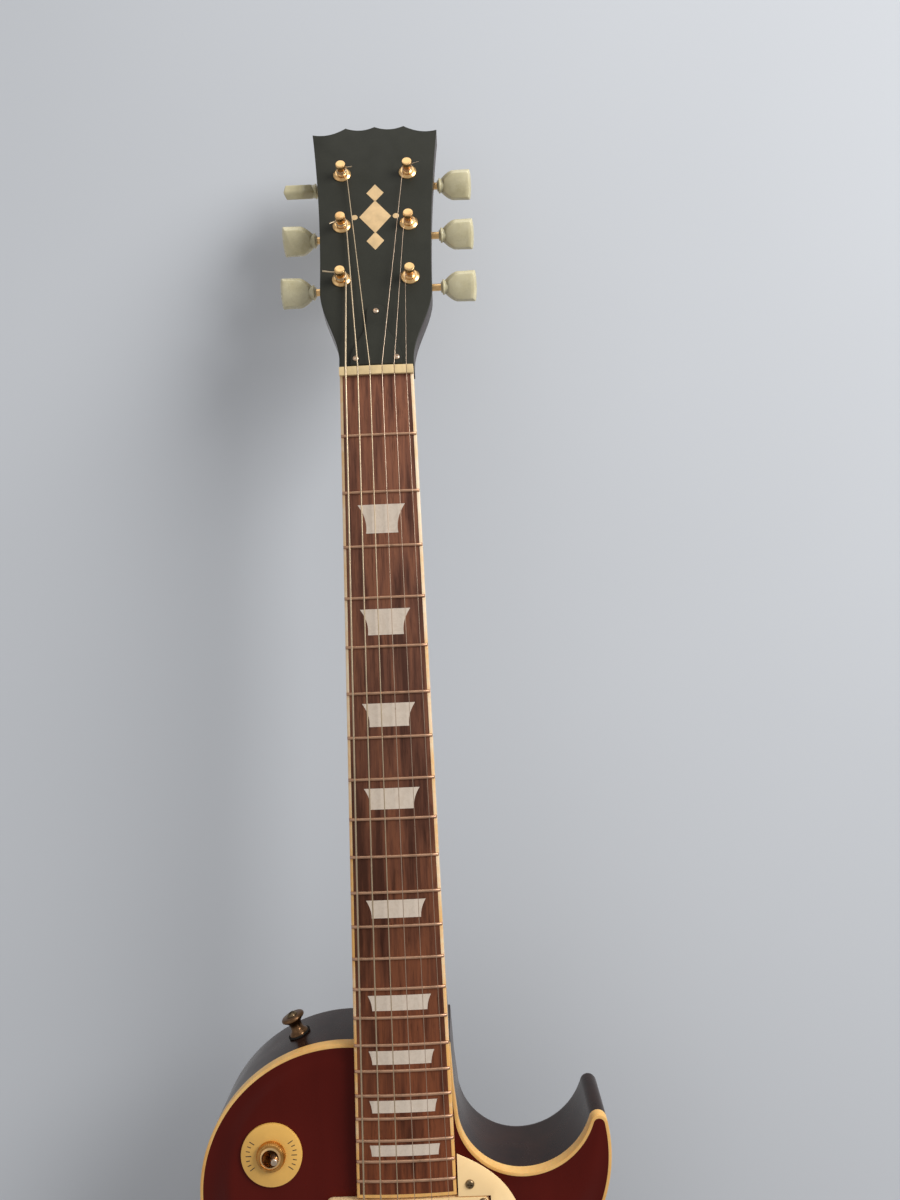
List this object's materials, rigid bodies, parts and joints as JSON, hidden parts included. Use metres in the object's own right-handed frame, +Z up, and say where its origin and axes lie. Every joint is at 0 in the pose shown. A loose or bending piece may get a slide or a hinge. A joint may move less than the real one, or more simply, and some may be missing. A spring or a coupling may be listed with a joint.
{
  "type": "electric guitar",
  "caption": "Solid-body electric guitar with a carved single-cutaway body, bound rosewood fretboard, covered pickups, a selector switch and geared tuners that wind the strings on their posts.",
  "frame": {"origin": "centre line of the guitar at the front edge of the nut, on the fretboard face", "axes": "+Z up along the hanging guitar towards the head, -Y out of the front where the strings are, +X to the treble side"},
  "size_m": [0.33, 0.1351, 1.0078],
  "materials": {
    "top_finish": "gloss",
    "back_finish": "gloss",
    "binding": "gloss",
    "black_plastic": "satin",
    "gold": "polished",
    "bone": "satin",
    "rosewood": "satin",
    "fret_wire": "polished",
    "pearl": "pearly",
    "bronze_wire": "wound",
    "steel_wire": "plain",
    "cream_plastic": "gloss",
    "key_plastic": "pearly",
    "knob_plastic": "gloss",
    "coil": "matt"
  },
  "bodies": {
    "guitar": {"body_back": "back_finish", "body_top": "top_finish", "body_binding": "binding", "control_cover": "black_plastic", "switch_cover": "black_plastic", "neck": "back_finish", "head_veneer": "black_plastic", "head_inlay": "gold", "truss_rod": "gold", "truss_cover": "black_plastic", "nut": "bone", "fretboard": "rosewood", "board_binding": "binding", "frets": "fret_wire", "board_inlays": "pearl", "tuner_housings": "gold", "tuner_bushings": "gold", "wound_strings": "bronze_wire", "plain_strings": "steel_wire", "neck_ring": "cream_plastic", "bridge_ring": "cream_plastic", "pickguard": "cream_plastic", "guard_bracket": "gold", "bridge": "gold", "saddles": "gold", "bridge_posts": "gold", "tailpiece": "gold", "tail_studs": "gold", "switch_plate": "cream_plastic", "switch_body": "steel_wire", "switch_nut": "gold", "pots": "steel_wire", "jack_plate": "gold", "jack_socket": "steel_wire", "strap_buttons": "gold", "trim_screws": "gold", "cover_screws": "gold"},
    "key_6": {"tuner_key_6": "key_plastic"},
    "post_6": {"tuner_post_6": "gold"},
    "key_5": {"tuner_key_5": "key_plastic"},
    "post_5": {"tuner_post_5": "gold"},
    "key_4": {"tuner_key_4": "key_plastic"},
    "post_4": {"tuner_post_4": "gold"},
    "key_3": {"tuner_key_3": "key_plastic"},
    "post_3": {"tuner_post_3": "gold"},
    "key_2": {"tuner_key_2": "key_plastic"},
    "post_2": {"tuner_post_2": "gold"},
    "key_1": {"tuner_key_1": "key_plastic"},
    "post_1": {"tuner_post_1": "gold"},
    "control_neck_volume": {"knob_neck_volume": "knob_plastic"},
    "control_bridge_volume": {"knob_bridge_volume": "knob_plastic"},
    "control_neck_tone": {"knob_neck_tone": "knob_plastic"},
    "control_bridge_tone": {"knob_bridge_tone": "knob_plastic"},
    "selector": {"toggle_lever": "gold"},
    "neck_pickup": {"neck_pickup_cover": "gold", "neck_pickup_coils": "coil"},
    "bridge_pickup": {"bridge_pickup_cover": "gold", "bridge_pickup_coils": "coil"}
  },
  "joints": [
    {"name": "key_6_turn", "type": "hinge", "parent": "guitar", "child": "key_6", "pos_m": [-0.0405, 0.04785, 0.06492], "axis": [-1, 0, 0], "continuous": true},
    {"name": "post_6_turn", "type": "hinge", "parent": "guitar", "child": "post_6", "pos_m": [-0.021, 0.02649, 0.06509], "axis": [0, -0.9336, 0.3584], "continuous": true},
    {"name": "key_5_turn", "type": "hinge", "parent": "guitar", "child": "key_5", "pos_m": [-0.0405, 0.06262, 0.10339], "axis": [-1, 0, 0], "continuous": true},
    {"name": "post_5_turn", "type": "hinge", "parent": "guitar", "child": "post_5", "pos_m": [-0.021, 0.04126, 0.10355], "axis": [0, -0.9336, 0.3584], "continuous": true},
    {"name": "key_4_turn", "type": "hinge", "parent": "guitar", "child": "key_4", "pos_m": [-0.0405, 0.07738, 0.14185], "axis": [-1, 0, 0], "continuous": true},
    {"name": "post_4_turn", "type": "hinge", "parent": "guitar", "child": "post_4", "pos_m": [-0.021, 0.05602, 0.14202], "axis": [0, -0.9336, 0.3584], "continuous": true},
    {"name": "key_3_turn", "type": "hinge", "parent": "guitar", "child": "key_3", "pos_m": [0.0405, 0.07738, 0.14185], "axis": [1, 0, 0], "continuous": true},
    {"name": "post_3_turn", "type": "hinge", "parent": "guitar", "child": "post_3", "pos_m": [0.021, 0.05602, 0.14202], "axis": [0, -0.9336, 0.3584], "continuous": true},
    {"name": "key_2_turn", "type": "hinge", "parent": "guitar", "child": "key_2", "pos_m": [0.0405, 0.06262, 0.10339], "axis": [1, 0, 0], "continuous": true},
    {"name": "post_2_turn", "type": "hinge", "parent": "guitar", "child": "post_2", "pos_m": [0.021, 0.04126, 0.10355], "axis": [0, -0.9336, 0.3584], "continuous": true},
    {"name": "key_1_turn", "type": "hinge", "parent": "guitar", "child": "key_1", "pos_m": [0.0405, 0.04785, 0.06492], "axis": [1, 0, 0], "continuous": true},
    {"name": "post_1_turn", "type": "hinge", "parent": "guitar", "child": "post_1", "pos_m": [0.021, 0.02649, 0.06509], "axis": [0, -0.9336, 0.3584], "continuous": true},
    {"name": "neck_volume_turn", "type": "hinge", "parent": "guitar", "child": "control_neck_volume", "pos_m": [0.078, -0.03144, -0.63985], "axis": [0, -1, 0], "range_deg": [-150, 150]},
    {"name": "bridge_volume_turn", "type": "hinge", "parent": "guitar", "child": "control_bridge_volume", "pos_m": [0.124, -0.03144, -0.67785], "axis": [0, -1, 0], "range_deg": [-150, 150]},
    {"name": "neck_tone_turn", "type": "hinge", "parent": "guitar", "child": "control_neck_tone", "pos_m": [0.07, -0.03144, -0.70386], "axis": [0, -1, 0], "range_deg": [-150, 150]},
    {"name": "bridge_tone_turn", "type": "hinge", "parent": "guitar", "child": "control_bridge_tone", "pos_m": [0.116, -0.03144, -0.74186], "axis": [0, -1, 0], "range_deg": [-150, 150]},
    {"name": "selector_tilt", "type": "hinge", "parent": "guitar", "child": "selector", "pos_m": [-0.075, -0.01861, -0.43809], "axis": [0, 0.0698, 0.9976], "range_deg": [-24, 0]},
    {"name": "neck_pickup_height", "type": "slide", "parent": "guitar", "child": "neck_pickup", "axis": [0, -0.9976, 0.0698], "range_m": [-0.003, 0.0015]},
    {"name": "bridge_pickup_height", "type": "slide", "parent": "guitar", "child": "bridge_pickup", "axis": [0, -0.9976, 0.0698], "range_m": [-0.003, 0.0015]}
  ],
  "couplings": [
    {"joint": "post_6_turn", "follows": "key_6_turn", "ratio": -0.066667},
    {"joint": "post_5_turn", "follows": "key_5_turn", "ratio": -0.066667},
    {"joint": "post_4_turn", "follows": "key_4_turn", "ratio": -0.066667},
    {"joint": "post_3_turn", "follows": "key_3_turn", "ratio": 0.066667},
    {"joint": "post_2_turn", "follows": "key_2_turn", "ratio": 0.066667},
    {"joint": "post_1_turn", "follows": "key_1_turn", "ratio": 0.066667}
  ]
}
